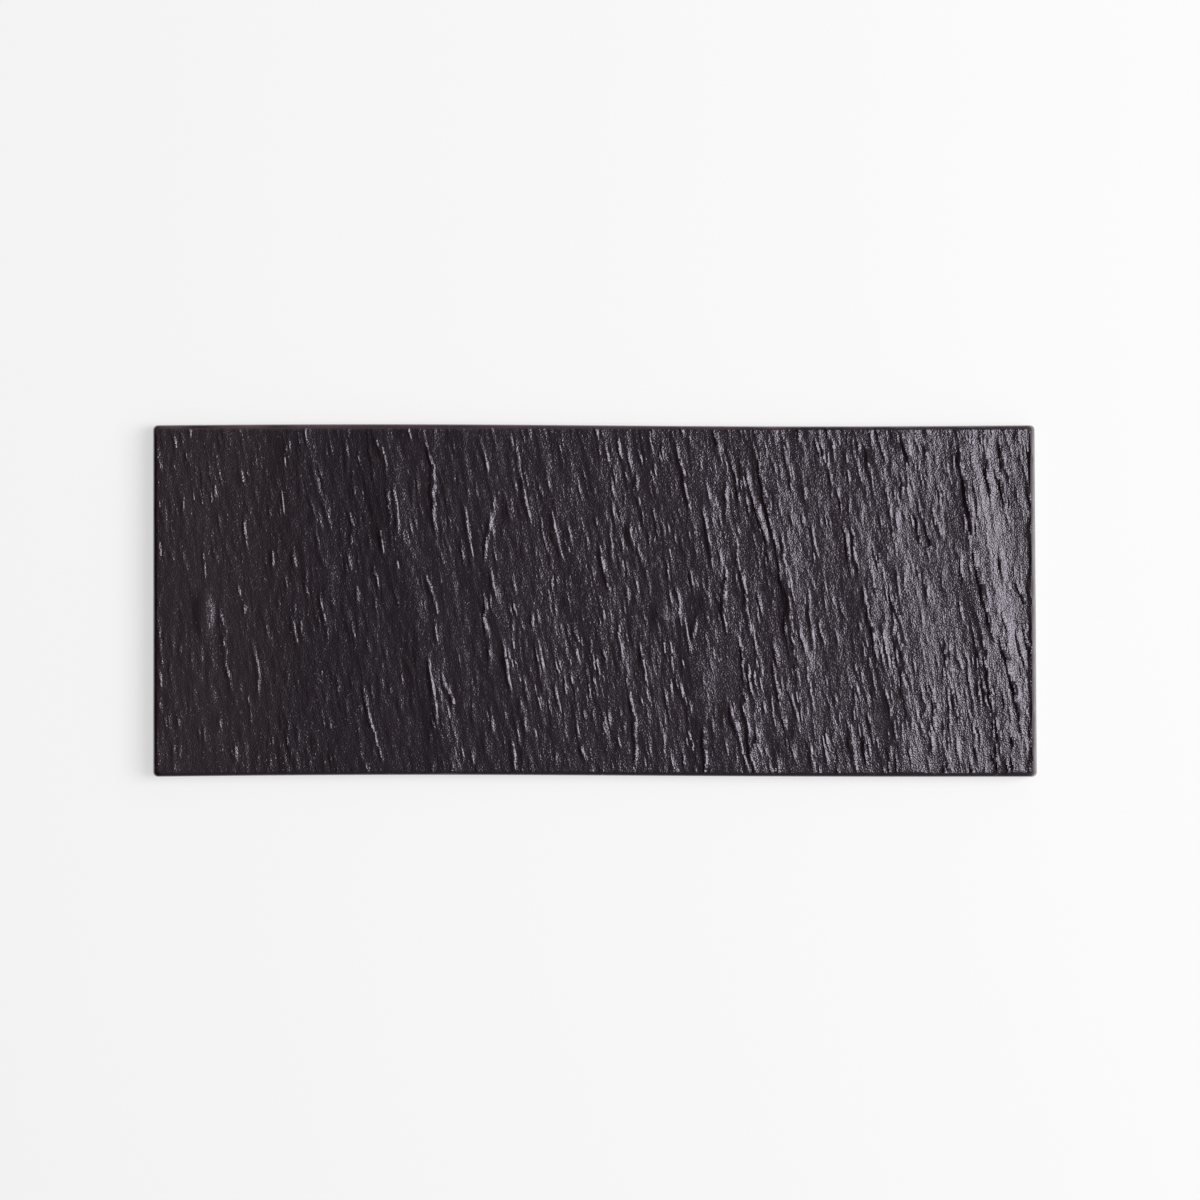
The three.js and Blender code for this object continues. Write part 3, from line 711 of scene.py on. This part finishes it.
class Shell:
    """Points and faces of one closed surface, gathered from sheets and rings."""

    def __init__(self):
        self.points = []
        self.shares = {"thin_glaze_and_painted_light": [], "riven": []}
        self.faces = []
        self.count = 0

    def add(self, points, thin=0.0, riven=0.0):
        """Adds an array of points and gives their numbers in the same layout; thin is how far a glaze has
        drawn back there, a share that at some edges and ends carries painted light too, and riven how rough
        it is there, both from 0 to 1."""
        numbers = self.count + np.arange(points[..., 0].size).reshape(points.shape[:-1])
        self.points.append(points.reshape(-1, 3))
        for name, share in (("thin_glaze_and_painted_light", thin), ("riven", riven)):
            self.shares[name].append(np.broadcast_to(share, numbers.shape).reshape(-1))
        self.count += numbers.size
        return numbers

    def fill(self, faces):
        """Adds an array of faces."""
        self.faces += faces.tolist()

    def bands(self, rings):
        """Joins rings in order, from the lowest up."""
        for lower, upper in zip(rings, rings[1:]):
            self.fill(band_faces(lower, upper))

    def mesh(self, name):
        """The surface as a mesh in metres, smooth apart from its crisp edges."""
        made = bpy.data.meshes.new(name)
        made.from_pydata(np.concatenate(self.points) * MM, [], self.faces)
        for share, values in self.shares.items():
            made.attributes.new(share, "FLOAT", "POINT").data.foreach_set("value", np.concatenate(values))
        return finished_mesh(made)


def finished_mesh(mesh):
    """Shades a mesh smooth, with edges sharper than the crisp angle left crisp."""
    mesh.polygons.foreach_set("use_smooth", np.ones(len(mesh.polygons), bool))
    mesh.set_sharp_from_angle(angle=CRISP_ANGLE)
    mesh.update()
    return mesh


def edge_values(mesh, name, kind, size):
    """One row of values for each edge of a mesh."""
    values = np.empty(len(mesh.edges) * size, kind)
    mesh.edges.foreach_get(name, values)
    return values.reshape(-1, size)


def sharpen_riven_edges(mesh, riven):
    """Leaves crisp, besides the edges that are so already, those sharper than the riven angle whose two ends
    are both riven."""
    crisp = edge_values(mesh, "use_edge_sharp", bool, 1)[:, 0]
    both_riven = (riven[edge_values(mesh, "vertices", np.int32, 2)] > RIVEN_FROM).all(axis=1)
    mesh.set_sharp_from_angle(angle=RIVEN_CRISP_ANGLE)
    bent = edge_values(mesh, "use_edge_sharp", bool, 1)[:, 0]
    mesh.edges.foreach_set("use_edge_sharp", crisp | bent & both_riven)
    mesh.update()


def place_piece(mesh, material, nodes):
    """Puts a mesh in the scene as a piece that rides on the plate and stands for its nodes."""
    mesh.materials.clear()
    mesh.materials.append(material)
    piece = bpy.data.objects.new(mesh.name, mesh)
    bpy.context.scene.collection.objects.link(piece)
    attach(piece, BODY)
    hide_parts(*nodes)


def coarse_polygons(rim_ids, inner_ids, layout, row_marks, column_marks):
    """Faces of a sheet whose edge has every fine point and whose inside has only the marked ones, facing
    down. Each face walks round one coarse cell and takes in the fine points where a side lies on the edge."""
    at = np.full(layout.shape, -1)
    at[layout.rim] = rim_ids
    at[np.ix_(row_marks[1:-1], column_marks[1:-1])] = inner_ids
    faces = []
    for r0, r1 in zip(row_marks, row_marks[1:]):
        for c0, c1 in zip(column_marks, column_marks[1:]):
            sides = [at[r0, c0:c1], at[r0:r1, c1], at[r1, c1:c0:-1], at[r1:r0:-1, c0]]
            walk = np.concatenate(sides)
            faces.append(walk[walk >= 0][::-1].tolist())
    return faces


def glaze_shell(sizes):
    """The glaze coat: a fine outer sheet over top, shoulder and sides, a rolled rim at the wavering glaze
    line, and a coarse inner sheet that lies on the body."""
    layout = slab_layout(COARSE_ROWS * FINE_PER_ROW, COARSE_COLUMNS * FINE_PER_COLUMN)
    edge = layout.edge
    shell = Shell()
    top_points = slab_points(*layout.grid, sizes.top, 0, (1, 1), sizes, glazed_height)
    x, y = top_points[..., 0], top_points[..., 1]
    # Partly painted light: the strip along the back edge takes the thin glaze's red-brown, fading to the
    # right, and the front edge takes none
    strip = ease((BACK_THIN_AND_LIT - sizes.width / 2 + y) / BACK_THIN_AND_LIT_FADE)
    # Painted light: the left end is lightened with the thin glaze's brown, which stands in for light falling
    # there
    left_end_painted_light = ease((LEFT_PAINTED_LIGHT_FROM - x) / LEFT_PAINTED_LIGHT_BREADTH)
    thin = THIN_AND_LIT_EDGE * (0.5 - x / sizes.length) * strip + LEFT_PAINTED_LIGHT * left_end_painted_light
    top = shell.add(top_points, thin, riven_share(y, sizes) * np.interp(x, ALONG_PLATE, GRAIN_STRENGTH))
    shell.fill(sheet_faces(top))
    rings = [top[layout.rim]]
    x, y, _ = slab_points(*edge, GLAZE_LINE_HEIGHT, 0, (0, 0), sizes, riven_height).T
    stray = 1 + smooth_noise(x / RIM_WAVE, y / RIM_WAVE, RIM_LAYER)
    # Partly painted light: the back walls take the thin glaze's red-brown too, less so to the right, and the
    # front walls none; the right wall's brown is thin glaze alone
    back_edge_thin_and_lit = (y > sizes.width / 2 - WALL_BREADTH) * (BACK_EDGE_MIDDLE - BACK_EDGE_FALL * x / sizes.length)
    right_wall = RIGHT_THIN * (x > sizes.length / 2 - WALL_BREADTH)
    for bend in np.linspace(0, np.pi / 2, SHOULDER_STEPS + 1)[1:]:
        height = sizes.top - sizes.shoulder_radius * (1 - math.cos(bend))
        ring = slab_points(*edge, height, 0, (1 - math.sin(bend), math.cos(bend)), sizes, glazed_height)
        thin = THIN_AND_LIT_EDGE * math.cos(bend / 2) * back_edge_thin_and_lit * stray
        rings.insert(0, shell.add(ring, np.maximum(thin, right_wall * math.sin(bend)), EDGE_RIVEN))
    for lift, depth in RIM_ROLL:
        height = GLAZE_LINE_HEIGHT + RIM_WAVER * stray + lift
        ring = slab_points(*edge, height, depth * sizes.glaze, (0, 0), sizes, riven_height)
        rings.insert(0, shell.add(ring, right_wall, WALL_RIVEN))
    under = sizes.top - sizes.glaze
    for height, roll in ((under - sizes.shoulder_radius, 0), (under, 1)):
        ring = slab_points(*edge, height, sizes.glaze, (roll, roll), sizes, riven_height)
        rings.insert(0, shell.add(ring))
    shell.bands(rings)
    rows, columns = layout.shape
    row_marks = [0, *range(CORNER_STEPS, rows - CORNER_STEPS, FINE_PER_ROW), rows - 1]
    column_marks = list(range(0, columns, FINE_PER_COLUMN))
    column, share, turn = layout.grid
    inside = (column[:, column_marks[1:-1]], share[row_marks[1:-1]], turn[row_marks[1:-1]])
    inner = shell.add(slab_points(*inside, under, sizes.glaze, (1, 1), sizes, riven_height))
    shell.faces += coarse_polygons(rings[0], inner, layout, row_marks, column_marks)
    return shell


def body_shell(sizes):
    """The bare slab under the glaze: the top's main form sunk by the glaze, sides, a rounded base edge and a
    flat base."""
    layout = slab_layout(COARSE_ROWS, COARSE_COLUMNS)
    under = sizes.top - sizes.glaze
    shell = Shell()
    top = shell.add(slab_points(*layout.grid, under, sizes.glaze, (1, 1), sizes, riven_height))
    shell.fill(sheet_faces(top))
    rings = [top[layout.rim]]
    levels = [(under - sizes.shoulder_radius, 0), (GLAZE_LINE_HEIGHT, 0)]
    for bend in np.linspace(0, np.pi / 2, BASE_ROUND_STEPS + 1):
        levels.append((BASE_HEIGHT + sizes.base_round * (1 - math.sin(bend)),
                       sizes.base_round * (1 - math.cos(bend))))
    for height, inset in levels:
        ring = slab_points(*layout.edge, height, sizes.glaze + inset, (0, 0), sizes, riven_height)
        rings.insert(0, shell.add(ring))
    shell.bands(rings)
    shell.faces.append(rings[0][::-1].tolist())
    return shell


def turned_shell(profile, centre):
    """A turned solid: a profile of radius and height, from the bottom up, carried round an upright axis and
    closed by a flat disc at each end."""
    radius, height = np.array(profile).T
    angle = np.linspace(0, 2 * np.pi, ROUND_SEGMENTS, endpoint=False)
    x = centre[0] + radius[:, None] * np.cos(angle)
    y = centre[1] + radius[:, None] * np.sin(angle)
    shell = Shell()
    rings = shell.add(np.stack(np.broadcast_arrays(x, y, height[:, None]), axis=-1))
    shell.bands(list(rings))
    shell.faces.append(rings[0][::-1].tolist())
    shell.faces.append(rings[-1].tolist())
    return shell


def node_box(name):
    """Centre in plan, radius, bottom and top of a round node, in millimetres."""
    low, high = (np.array(corner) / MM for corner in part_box(name))
    return (low + high)[:2] / 2, (high - low)[0] / 2, low[2], high[2]


def nodes_of(kind):
    """Names of the nodes of one kind, in order."""
    return sorted(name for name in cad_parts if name.startswith(kind))


def quarter_round(radius, height, turn, bend):
    """Points of a quarter circle of the given bend, from its lower end up: outer radius less 1 - sin, and
    height plus 1 - cos, turned over where turn is -1."""
    angles = np.linspace(0, np.pi / 2, QUARTER_POINTS)
    points = [(radius - bend * (1 - math.sin(a)), height + turn * bend * (1 - math.cos(a))) for a in angles]
    return points if turn > 0 else points[::-1]


def set_inputs(tree, node, inputs):
    """Gives a node's inputs their values, or links where a value is a socket."""
    for name, value in inputs.items():
        if isinstance(value, bpy.types.NodeSocket):
            tree.links.new(value, node.inputs[name])
        else:
            node.inputs[name].default_value = value


def add_node(tree, kind, inputs=None, **settings):
    """Adds a node with its settings and inputs."""
    added = tree.nodes.new(kind)
    for name, value in settings.items():
        setattr(added, name, value)
    set_inputs(tree, added, inputs or {})
    return added


def new_material(name):
    """An empty node material, its tree, its shader and its object coordinates."""
    material = bpy.data.materials.new(name)
    material.use_nodes = True
    tree = material.node_tree
    tree.nodes.clear()
    shader = add_node(tree, "ShaderNodeBsdfPrincipled")
    add_node(tree, "ShaderNodeOutputMaterial", {"Surface": shader.outputs["BSDF"]})
    place = add_node(tree, "ShaderNodeTexCoord").outputs["Object"]
    return material, tree, shader, place


def opaque(rgb):
    """A colour with full alpha."""
    return (*rgb, 1.0)


def iron_black_glaze(finish, sizes):
    """Semi-matt iron-black glaze, sprayed and fired: a dark violet-brown glass full of fine crystals, so it
    sheens rather than mirrors and is grainy to the touch. Some crystals show as pale specks, which stand
    in for their glints as well: partly painted glints. The glaze breaks to brown where it draws thin over
    edges, and the same brown is painted light over the left end and, in part, along the back edge."""
    material, tree, shader, place = new_material("semi_matt_iron_black_glaze")
    turned = add_node(tree, "ShaderNodeMapping", {
        "Vector": place, "Rotation": (0, 0, -sizes.grain_angle), "Scale": (1, GLAZE.stretch, 1)})
    along = turned.outputs["Vector"]
    noises = ((along, GLAZE.cloud, 4), (along, GLAZE.streak, 2), (place, GLAZE.grain, 0),
              (place, GLAZE.speck, 0), (place, GLAZE.cluster, 2))
    cloud, streak, grain, specks, clusters = (
        add_node(tree, "ShaderNodeTexNoise", {"Vector": vector, "Scale": 1 / (size * MM), "Detail": detail})
        .outputs["Fac"] for vector, size, detail in noises)
    thin, riven = (add_node(tree, "ShaderNodeAttribute", attribute_name=name).outputs["Fac"]
                   for name in ("thin_glaze_and_painted_light", "riven"))
    crystals = add_node(tree, "ShaderNodeTexVoronoi", {"Vector": place, "Scale": 1 / (GLAZE.crystal_and_glint * MM)})
    scarce = add_node(tree, "ShaderNodeMath", {
        0: clusters, 1: GLAZE.clustering, 2: crystals.outputs["Distance"]}, operation="MULTIPLY_ADD")
    # Partly painted glints: pale specks where the scarce crystals lie, in a colour that also stands in for
    # their glints
    pale = add_node(tree, "ShaderNodeMapRange", {
        "Value": scarce.outputs[0], "From Min": 0.2, "From Max": 0.28, "To Min": 0.6, "To Max": 0.0})
    # The thin glaze's share paints light in as well: the left end's lightening, and the back edge's brown in
    # part
    tint = opaque(finish.glaze_dark)
    for share, towards in ((cloud, finish.glaze_light), (thin, finish.glaze_edge_and_painted_light),
                           (pale.outputs["Result"], finish.crystal_and_glint)):
        mixed = add_node(tree, "ShaderNodeMix", {
            MIX_IN.share: share, MIX_IN.colour_from: tint, MIX_IN.colour_to: opaque(towards)},
            data_type="RGBA")
        tint = mixed.outputs[MIX_OUT.colour]
    grainy = add_node(tree, "ShaderNodeMapRange", {
        "Value": specks, "From Min": 0.3, "From Max": 0.7, "To Min": 0.08, "To Max": 0.33})
    rough = add_node(tree, "ShaderNodeMix", {
        MIX_IN.share: riven, MIX_IN.number_from: GLAZE.smooth_roughness,
        MIX_IN.number_to: grainy.outputs["Result"]})
    streaks = add_node(tree, "ShaderNodeBump", {
        "Height": streak, "Distance": GLAZE.streak_bump * MM, "Strength": riven})
    bump = add_node(tree, "ShaderNodeBump", {
        "Height": grain, "Distance": GLAZE.grain_bump * MM, "Strength": riven,
        "Normal": streaks.outputs["Normal"]})
    set_inputs(tree, shader, {
        "Base Color": tint, "Roughness": rough.outputs[MIX_OUT.number], "Normal": bump.outputs["Normal"],
        "IOR": 1.6, "Specular Tint": opaque(finish.sheen)})
    return material


def bare_stoneware(finish):
    """Dark stoneware, dry pressed and fired without glaze: dull brown clay with grains of paler grog and a
    gritty, open surface."""
    material, tree, shader, place = new_material("bare_pressed_stoneware")
    cloud, grit = (
        add_node(tree, "ShaderNodeTexNoise", {"Vector": place, "Scale": 1 / (size * MM), "Detail": detail})
        .outputs["Fac"] for size, detail in ((CLAY.cloud, 5), (CLAY.grit, 3)))
    grog = add_node(tree, "ShaderNodeTexVoronoi", {"Vector": place, "Scale": 1 / (CLAY.grog * MM)})
    specks = add_node(tree, "ShaderNodeMapRange", {
        "Value": grog.outputs["Distance"], "From Min": 0.12, "From Max": 0.22, "To Min": 0.8, "To Max": 0.0})
    shade = add_node(tree, "ShaderNodeMapRange", {
        "Value": cloud, "From Min": 0.3, "From Max": 0.7, "To Min": 0.8, "To Max": 1.15})
    toned = add_node(tree, "ShaderNodeVectorMath", {0: finish.clay, "Scale": shade.outputs["Result"]},
                     operation="SCALE")
    mixed = add_node(tree, "ShaderNodeMix", {
        MIX_IN.share: specks.outputs["Result"], MIX_IN.colour_from: toned.outputs["Vector"],
        MIX_IN.colour_to: opaque(finish.clay_grog)}, data_type="RGBA")
    bump = add_node(tree, "ShaderNodeBump", {"Height": grit, "Distance": CLAY.bump * MM, "Strength": 0.8})
    set_inputs(tree, shader, {
        "Base Color": mixed.outputs[MIX_OUT.colour], "Normal": bump.outputs["Normal"], "Roughness": 0.88,
        "IOR": 1.5})
    return material


def moulded_rubber(finish):
    """Black silicone rubber, moulded: a soft dull sheen over a faint even texture."""
    material, tree, shader, place = new_material("moulded_silicone_rubber")
    tooth = add_node(tree, "ShaderNodeTexNoise", {
        "Vector": place, "Scale": 1 / (RUBBER.tooth * MM), "Detail": 2})
    rough = add_node(tree, "ShaderNodeMapRange", {
        "Value": tooth.outputs["Fac"], "From Min": 0.3, "From Max": 0.7, "To Min": 0.55, "To Max": 0.72})
    bump = add_node(tree, "ShaderNodeBump", {
        "Height": tooth.outputs["Fac"], "Distance": RUBBER.bump * MM, "Strength": 0.6})
    set_inputs(tree, shader, {
        "Base Color": opaque(finish.rubber), "Roughness": rough.outputs["Result"],
        "Normal": bump.outputs["Normal"], "IOR": 1.41})
    return material


def acrylic_adhesive(finish):
    """Acrylic adhesive, cast as a film: milky, with small trapped bubbles."""
    material, tree, shader, place = new_material("acrylic_adhesive_film")
    bubbles = add_node(tree, "ShaderNodeTexVoronoi", {"Vector": place, "Scale": 1 / (BUBBLE * MM)})
    shade = add_node(tree, "ShaderNodeMapRange", {
        "Value": bubbles.outputs["Distance"], "From Min": 0.1, "From Max": 0.4, "To Min": 0.8, "To Max": 1.0})
    toned = add_node(tree, "ShaderNodeVectorMath", {0: finish.adhesive, "Scale": shade.outputs["Result"]},
                     operation="SCALE")
    set_inputs(tree, shader, {"Base Color": toned.outputs["Vector"], "Roughness": 0.45, "IOR": 1.47})
    return material


class PLATE_OT_glaze_coat(bpy.types.Operator):
    """Makes the riven glaze coat over the plate's top and sides"""

    bl_idname = "plate.glaze_coat"
    bl_label = "Glaze Coat"

    def execute(self, context):
        sizes = slab_sizes(context.scene)
        shell = glaze_shell(sizes)
        mesh = shell.mesh("glaze_coat_riven")
        sharpen_riven_edges(mesh, np.concatenate(shell.shares["riven"]))
        place_piece(mesh, iron_black_glaze(context.scene.plate_finish, sizes), ["glaze_coat"])
        return {"FINISHED"}


class PLATE_OT_stoneware_body(bpy.types.Operator):
    """Makes the bare stoneware body with a round seat for each foot"""

    bl_idname = "plate.stoneware_body"
    bl_label = "Stoneware Body"

    def execute(self, context):
        mesh = body_shell(slab_sizes(context.scene)).mesh("plate_body_uncut")
        blank = bpy.data.objects.new("plate_body_blank", mesh)
        cutters = []
        for foot, disc in zip(nodes_of("rubber_foot_"), nodes_of("adhesive_disc_")):
            centre, radius, bottom, _ = node_box(foot)
            ceiling = node_box(disc)[3]
            seat = radius + SEAT_CLEARANCE
            cutter = bpy.data.objects.new(
                "seat_cutter", turned_shell([(seat, bottom), (seat, ceiling)], centre).mesh("seat_cutter"))
            cut = blank.modifiers.new("seat", "BOOLEAN")
            cut.operation, cut.solver, cut.object = "DIFFERENCE", "EXACT", cutter
            cutters.append(cutter)
        for part in (blank, *cutters):
            context.scene.collection.objects.link(part)
        cut_mesh = bpy.data.meshes.new_from_object(blank.evaluated_get(context.evaluated_depsgraph_get()))
        cut_mesh.name = "plate_body_bare"
        for part in (blank, *cutters):
            bpy.data.objects.remove(part)
        place_piece(finished_mesh(cut_mesh), bare_stoneware(context.scene.plate_finish),
                    ["plate_body"])
        return {"FINISHED"}


class PLATE_OT_rubber_feet(bpy.types.Operator):
    """Makes the moulded rubber feet"""

    bl_idname = "plate.rubber_feet"
    bl_label = "Rubber Feet"

    def execute(self, context):
        material = moulded_rubber(context.scene.plate_finish)
        for name in nodes_of("rubber_foot_"):
            centre, radius, bottom, top = node_box(name)
            profile = [*quarter_round(radius, bottom, 1, FOOT_EDGE),
                       *quarter_round(radius, top, -1, FOOT_TOP_EDGE)]
            mesh = turned_shell(profile, centre).mesh(f"{name}_moulded")
            place_piece(mesh, material, [name])
        return {"FINISHED"}


class PLATE_OT_adhesive_discs(bpy.types.Operator):
    """Makes the adhesive between each foot and its seat"""

    bl_idname = "plate.adhesive_discs"
    bl_label = "Adhesive Discs"

    def execute(self, context):
        material = acrylic_adhesive(context.scene.plate_finish)
        for name in nodes_of("adhesive_disc_"):
            centre, radius, bottom, top = node_box(name)
            bulge = (top - bottom) / 2
            profile = [*quarter_round(radius, bottom, 1, bulge), *quarter_round(radius, top, -1, bulge)[1:]]
            mesh = turned_shell(profile, centre).mesh(f"{name}_film")
            place_piece(mesh, material, [name])
        return {"FINISHED"}


class PLATE_OT_studio(bpy.types.Operator):
    """Makes the floor, the light and the camera"""

    bl_idname = "plate.studio"
    bl_label = "Studio"

    def execute(self, context):
        scene = context.scene
        studio = scene.plate_studio
        scene.view_settings.view_transform = "Standard"
        make_floor(scene, studio)
        make_softbox(scene, studio)
        make_world(scene, studio)
        make_camera(scene, studio)
        return {"FINISHED"}


def make_floor(scene, studio):
    """A flat pale floor at the table's height, partly a plain glow of its own colour wherever it is seen."""
    half = FLOOR_SIZE / 2
    mesh = bpy.data.meshes.new("studio_floor")
    corners = [(-half, -half, 0), (half, -half, 0), (half, half, 0), (-half, half, 0)]
    mesh.from_pydata(corners, [], [(0, 1, 2, 3)])
    material, tree, shader, _ = new_material("pale_paper_floor")
    set_inputs(tree, shader, {
        "Base Color": opaque(studio.floor), "Roughness": 1.0, "Specular IOR Level": 0.0})
    rays = add_node(tree, "ShaderNodeLightPath")
    seen = add_node(tree, "ShaderNodeMath", {
        0: rays.outputs["Is Camera Ray"], 1: rays.outputs["Is Glossy Ray"]}, operation="ADD")
    seen = add_node(tree, "ShaderNodeMath", {
        0: seen.outputs[0], 1: rays.outputs["Is Transmission Ray"]}, operation="ADD", use_clamp=True)
    share = add_node(tree, "ShaderNodeMath", {0: seen.outputs[0], 1: studio.floor_glow}, operation="MULTIPLY")
    glow = add_node(tree, "ShaderNodeEmission", {"Color": opaque(studio.floor), "Strength": 1.0})
    mixed = add_node(tree, "ShaderNodeMixShader", {
        0: share.outputs[0], 1: shader.outputs["BSDF"], 2: glow.outputs["Emission"]})
    tree.links.new(mixed.outputs[0], tree.get_output_node("ALL").inputs["Surface"])
    mesh.materials.append(material)
    floor = bpy.data.objects.new("studio_floor", mesh)
    scene.collection.objects.link(floor)


def make_softbox(scene, studio):
    """A panel of soft light on the right, tilted towards the plate: an area lamp whose power is its radiance
    times pi times its area."""
    (x0, z0), (x1, z1) = SOFTBOX_UPPER, SOFTBOX_LOWER
    lamp = bpy.data.lights.new("softbox", "AREA")
    lamp.shape = "RECTANGLE"
    lamp.size, lamp.size_y = math.hypot(x1 - x0, z1 - z0), SOFTBOX_WIDTH
    lamp.energy = studio.softbox * math.pi * lamp.size * lamp.size_y
    made = bpy.data.objects.new("softbox", lamp)
    made.location = ((x0 + x1) / 2, SOFTBOX_BACK, (z0 + z1) / 2)
    made.rotation_euler = (0, math.atan2(z0 - z1, x1 - x0), 0)
    scene.collection.objects.link(made)


def make_world(scene, studio):
    """The studio around: low radiance that falls from overhead to the left, and a wide glow on the right that
    is strongest halfway up, by the product of the directions right and up."""
    world = bpy.data.worlds.new("studio")
    world.use_nodes = True
    tree = world.node_tree
    tree.nodes.clear()
    direction = add_node(tree, "ShaderNodeTexCoord").outputs["Generated"]
    split = add_node(tree, "ShaderNodeSeparateXYZ", {"Vector": direction})
    halfway = add_node(tree, "ShaderNodeMath", {0: split.outputs["X"], 1: split.outputs["Z"]},
                       operation="MULTIPLY")
    glow = add_node(tree, "ShaderNodeMapRange", {
        "Value": halfway.outputs[0], "From Max": GLOW_PEAK, "To Max": studio.right_glow})
    room = add_node(tree, "ShaderNodeMapRange", {
        "Value": split.outputs["X"], "From Min": ROOM_FADE[0], "From Max": ROOM_FADE[1],
        "To Min": studio.left_light, "To Max": studio.overhead})
    level = add_node(tree, "ShaderNodeMath", {0: glow.outputs["Result"], 1: room.outputs["Result"]})
    around = add_node(tree, "ShaderNodeBackground", {"Strength": level.outputs[0]})
    add_node(tree, "ShaderNodeOutputWorld", {"Surface": around.outputs["Background"]})
    scene.world = world


def make_camera(scene, studio):
    """A camera straight above the plate, whose frame holds the plate at the photograph's size and place."""
    plate = scene.plate_slab.length
    metres_per_pixel = plate / PLATE_PIXELS
    distance = studio.view_height - GLAZE_LINE_HEIGHT * MM
    camera = bpy.data.cameras.new("photograph_view")
    camera.sensor_width = SENSOR_WIDTH
    camera.lens = SENSOR_WIDTH * distance / (PHOTO_PIXELS * metres_per_pixel)
    made = bpy.data.objects.new("photograph_view", camera)
    made.location = ((PHOTO_PIXELS / 2 - PLATE_CENTRE_PIXELS[0]) * metres_per_pixel,
                     (PLATE_CENTRE_PIXELS[1] - PHOTO_PIXELS / 2) * metres_per_pixel, studio.view_height)
    scene.collection.objects.link(made)
    scene.camera = made


class PLATE_PT_sidebar(bpy.types.Panel):
    """Lists the plate's pieces and their sizes"""

    bl_idname = "PLATE_PT_sidebar"
    bl_label = "Riven Plate"
    bl_space_type = "VIEW_3D"
    bl_region_type = "UI"
    bl_category = "Plate"

    def draw(self, context):
        for group in GROUPS:
            box = self.layout.box()
            for name in GROUPS[group].__annotations__:
                box.prop(getattr(context.scene, group), name)
        for operator in OPERATORS:
            self.layout.operator(operator.bl_idname)


GROUPS = {
    "plate_slab": PlateSlab,
    "plate_top": PlateTop,
    "plate_finish": PlateFinish,
    "plate_studio": PlateStudio,
}
OPERATORS = (
    PLATE_OT_stoneware_body,
    PLATE_OT_glaze_coat,
    PLATE_OT_rubber_feet,
    PLATE_OT_adhesive_discs,
    PLATE_OT_studio,
)
CLASSES = (*GROUPS.values(), *OPERATORS, PLATE_PT_sidebar)


def register():
    for item in CLASSES:
        bpy.utils.register_class(item)
    for name, group in GROUPS.items():
        setattr(bpy.types.Scene, name, PointerProperty(type=group))


def unregister():
    for name in GROUPS:
        delattr(bpy.types.Scene, name)
    for item in reversed(CLASSES):
        bpy.utils.unregister_class(item)


def main():
    register()
    for operator in OPERATORS:
        group, name = operator.bl_idname.split(".")
        getattr(getattr(bpy.ops, group), name)()


if __name__ == "__main__":
    main()
